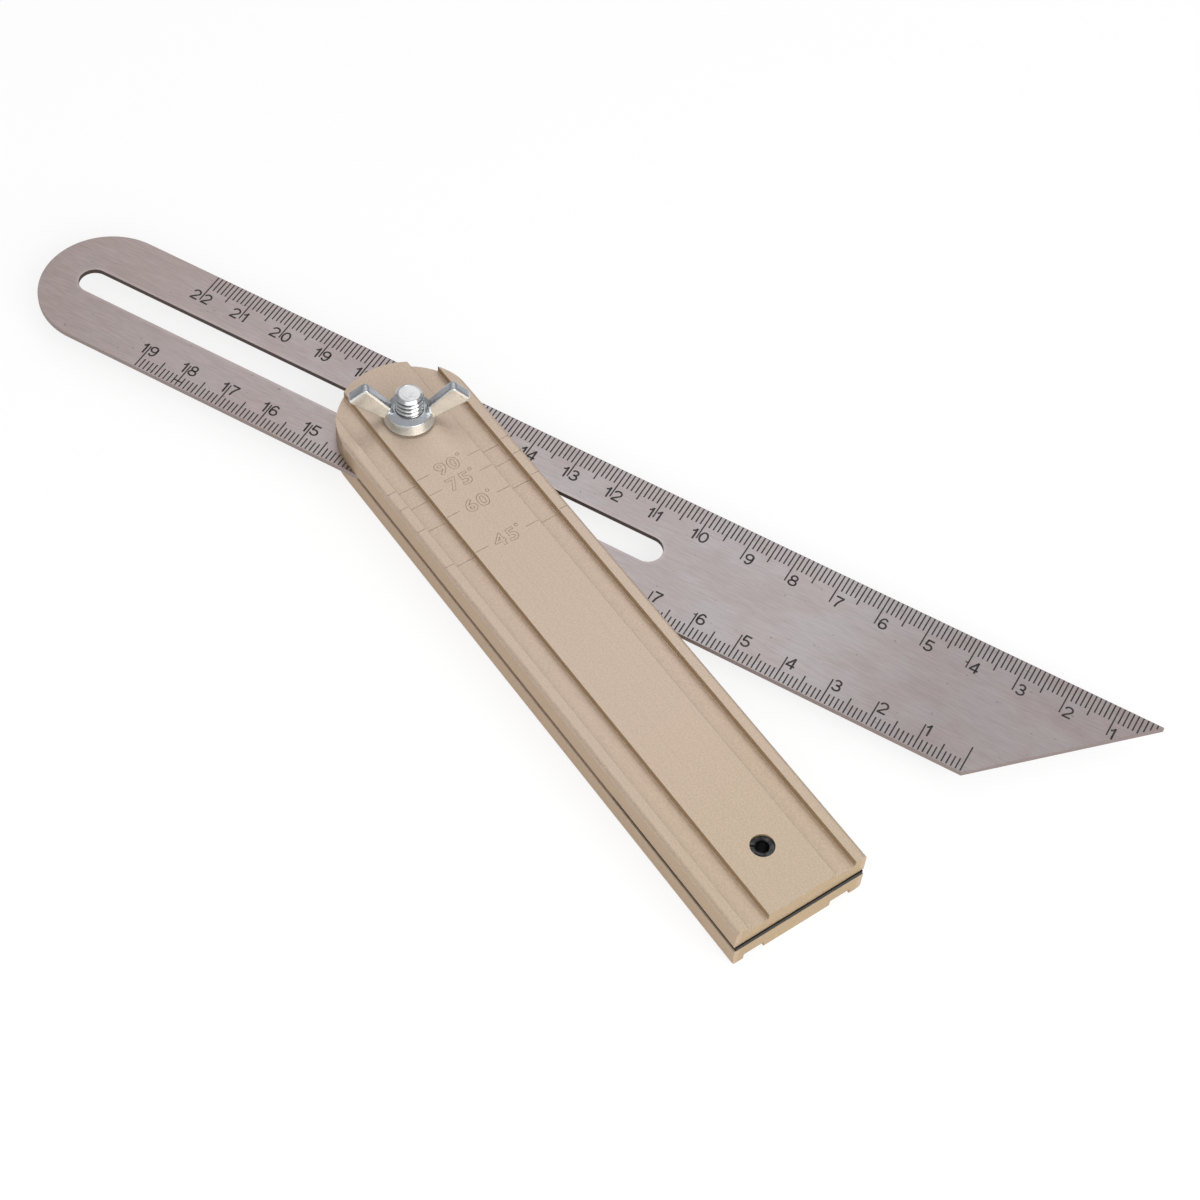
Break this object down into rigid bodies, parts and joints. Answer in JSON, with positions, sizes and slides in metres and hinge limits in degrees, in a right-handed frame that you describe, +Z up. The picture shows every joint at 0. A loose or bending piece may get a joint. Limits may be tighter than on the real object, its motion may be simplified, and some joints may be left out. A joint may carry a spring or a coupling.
{
  "type": "adjustable set square",
  "caption": "Sliding set square with a slotted graduated steel blade that turns and slides in a two-part grooved aluminium handle, clamped by a wing nut.",
  "frame": {"origin": "on the pivot axis, at the handle's underside", "axes": "+X along the blade to its pointed end, +Y to the blade's upper edge, +Z up to the wing nut"},
  "size_m": [0.2522, 0.0858, 0.0214],
  "materials": {
    "anodised_handle": "satin champagne anodised, fine matt grain",
    "dark_steel": "dark oiled steel",
    "black_spring_steel": "blackened spring steel",
    "blade_steel": "brushed stainless with etched scales",
    "zinc_plate": "bright zinc plate"
  },
  "bodies": {
    "handle": {"handle_lower_half": "anodised_handle", "handle_upper_half": "anodised_handle", "spacer_plate": "dark_steel", "spring_pin": "black_spring_steel"},
    "bolt": {"clamp_bolt": "zinc_plate"},
    "blade": {"blade": "blade_steel"},
    "wing_nut": {"wing_nut": "zinc_plate"}
  },
  "joints": [
    {"name": "blade_pivot", "type": "hinge", "parent": "handle", "child": "bolt", "pos_m": [0, 0, 0.00565], "axis": [0, 0, 1], "range_deg": [-5, 134]},
    {"name": "blade_slide", "type": "slide", "parent": "bolt", "child": "blade", "axis": [1, 0, 0], "range_m": [-0.054, 0.0765]},
    {"name": "nut_turn", "type": "hinge", "parent": "bolt", "child": "wing_nut", "pos_m": [0, 0, 0.0113], "axis": [0, 0, 1], "range_deg": [0, 360]}
  ]
}
